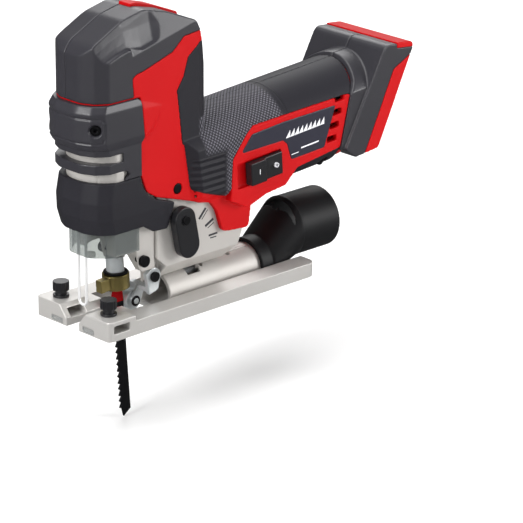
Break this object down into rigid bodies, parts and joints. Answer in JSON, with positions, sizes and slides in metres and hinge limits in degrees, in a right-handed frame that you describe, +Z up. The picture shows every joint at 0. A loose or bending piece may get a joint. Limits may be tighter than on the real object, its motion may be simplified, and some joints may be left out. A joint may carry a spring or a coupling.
{
  "type": "cordless jigsaw",
  "caption": "Barrel-grip cordless jigsaw with crank-driven plunger, blade, orbital lever, bevelling shoe and dust port.",
  "frame": {"origin": "point where the blade's centre line meets the underside of the shoe", "axes": "-X is the cutting direction, +X runs towards the battery foot, -Y is the tool's left side, +Z is up"},
  "size_m": [0.2571, 0.066, 0.257],
  "materials": {
    "red_shell": "satin glass-filled nylon",
    "charcoal_shell": "fine matt texture",
    "soft_grip": "matt TPE",
    "black_plastic": "satin",
    "label": "printed film",
    "alloy": "die-cast, bead blasted",
    "steel": "ground",
    "zinc": "zinc plated",
    "wire": "polished wire",
    "black_oxide": "black oxide",
    "bronze": "sintered",
    "copper": "enamelled wire",
    "board": "solder mask",
    "clear": "smoked clear plastic"
  },
  "bodies": {
    "housing": {"housing_left": "red_shell", "housing_right": "red_shell", "head_cap_left": "charcoal_shell", "head_cap_right": "charcoal_shell", "head_strip": "red_shell", "foot_strip": "red_shell", "front_collar": "charcoal_shell", "lower_cover": "soft_grip", "collar_screws": "black_oxide", "gear_case": "alloy", "gear_case_front": "alloy", "gear_case_screws": "black_oxide", "grip_left": "soft_grip", "grip_right": "soft_grip", "label_left": "label", "label_right": "label", "foot_left": "charcoal_shell", "foot_right": "charcoal_shell", "battery_rails": "black_plastic", "terminal_block": "black_plastic", "battery_contacts": "copper", "motor_stator": "copper", "motor_bearings": "steel", "control_board": "board", "switch_module": "black_plastic", "plunger_bushes": "bronze", "crank_bearing": "steel", "guard_wire": "wire", "housing_screws": "black_oxide", "work_light": "clear", "bevel_shoe": "steel", "bevel_bolt": "black_oxide", "guide_pivot_screw": "black_oxide"},
    "rotor": {"rotor_core": "steel", "rotor_shaft": "steel", "cooling_fan": "black_plastic", "motor_pinion": "steel"},
    "crank": {"crank_gear": "steel", "crank_axle": "steel", "crank_pin": "steel"},
    "plunger": {"plunger_rod": "steel", "plunger_yoke": "steel", "clamp_body": "steel"},
    "clamp_ring": {"clamp_ring": "bronze"},
    "blade": {"saw_blade": "black_oxide"},
    "orbit_lever": {"orbit_lever": "black_plastic", "lever_screw": "steel"},
    "guide_arm": {"guide_arm": "zinc", "roller_pin": "steel"},
    "guide_roller": {"guide_roller": "steel"},
    "shoe": {"sole_plate": "alloy", "bevel_trough": "alloy", "prong_inserts": "clear"},
    "guide_knob_left": {"guide_knob_left": "black_plastic"},
    "guide_knob_right": {"guide_knob_right": "black_plastic"},
    "dust_adaptor": {"dust_adaptor": "black_plastic"},
    "chip_guard": {"chip_guard": "clear"},
    "switch_slider": {"switch_slider_left": "black_plastic", "switch_slider_right": "black_plastic"}
  },
  "joints": [
    {"name": "rotor_spin", "type": "hinge", "parent": "housing", "child": "rotor", "pos_m": [0.0413, 0, 0.0837], "axis": [0.9976, 0, 0.0698], "continuous": true},
    {"name": "crank_spin", "type": "hinge", "parent": "housing", "child": "crank", "pos_m": [0.01469, 0, 0.10538], "axis": [0.9976, 0, 0.0698], "continuous": true},
    {"name": "plunger_stroke", "type": "slide", "parent": "housing", "child": "plunger", "axis": [-0.0698, 0, 0.9976], "range_m": [0, 0.026]},
    {"name": "clamp_release", "type": "hinge", "parent": "plunger", "child": "clamp_ring", "pos_m": [-0.00156, 0, 0.02235], "axis": [-0.0698, 0, 0.9976], "range_deg": [0, 60], "stiffness_Nm_per_rad": 0.05},
    {"name": "blade_release", "type": "slide", "parent": "plunger", "child": "blade", "axis": [0.0698, 0, -0.9976], "range_m": [0, 0.04]},
    {"name": "orbit_select", "type": "hinge", "parent": "housing", "child": "orbit_lever", "pos_m": [0.0305, -0.0239, 0.0585], "axis": [0, -1, 0], "range_deg": [0, 60]},
    {"name": "guide_arm_swing", "type": "hinge", "parent": "housing", "child": "guide_arm", "pos_m": [0.0157, 0, 0.0238], "axis": [0, 1, 0], "range_deg": [-4, 0]},
    {"name": "roller_spin", "type": "hinge", "parent": "guide_arm", "child": "guide_roller", "pos_m": [0.00985, 0, 0.0071], "axis": [0, 1, 0], "continuous": true},
    {"name": "shoe_bevel", "type": "hinge", "parent": "housing", "child": "shoe", "pos_m": [0.05, 0, 0.006], "axis": [1, 0, 0], "range_deg": [-30, 30]},
    {"name": "left_knob_turn", "type": "hinge", "parent": "shoe", "child": "guide_knob_left", "pos_m": [-0.0261, -0.0214, 0.015], "axis": [0, 0, 1], "continuous": true},
    {"name": "right_knob_turn", "type": "hinge", "parent": "shoe", "child": "guide_knob_right", "pos_m": [-0.0261, 0.0214, 0.015], "axis": [0, 0, 1], "continuous": true},
    {"name": "adaptor_pull", "type": "slide", "parent": "shoe", "child": "dust_adaptor", "axis": [1, 0, 0], "range_m": [0, 0.04]},
    {"name": "chip_guard_clip", "type": "slide", "parent": "housing", "child": "chip_guard", "axis": [0, 0, -1], "range_m": [0, 0.011]},
    {"name": "switch_slide", "type": "slide", "parent": "housing", "child": "switch_slider", "axis": [-0.9976, 0, -0.0698], "range_m": [0, 0.007]}
  ],
  "couplings": [
    {"joint": "crank_spin", "follows": "rotor_spin", "ratio": -0.23684}
  ]
}
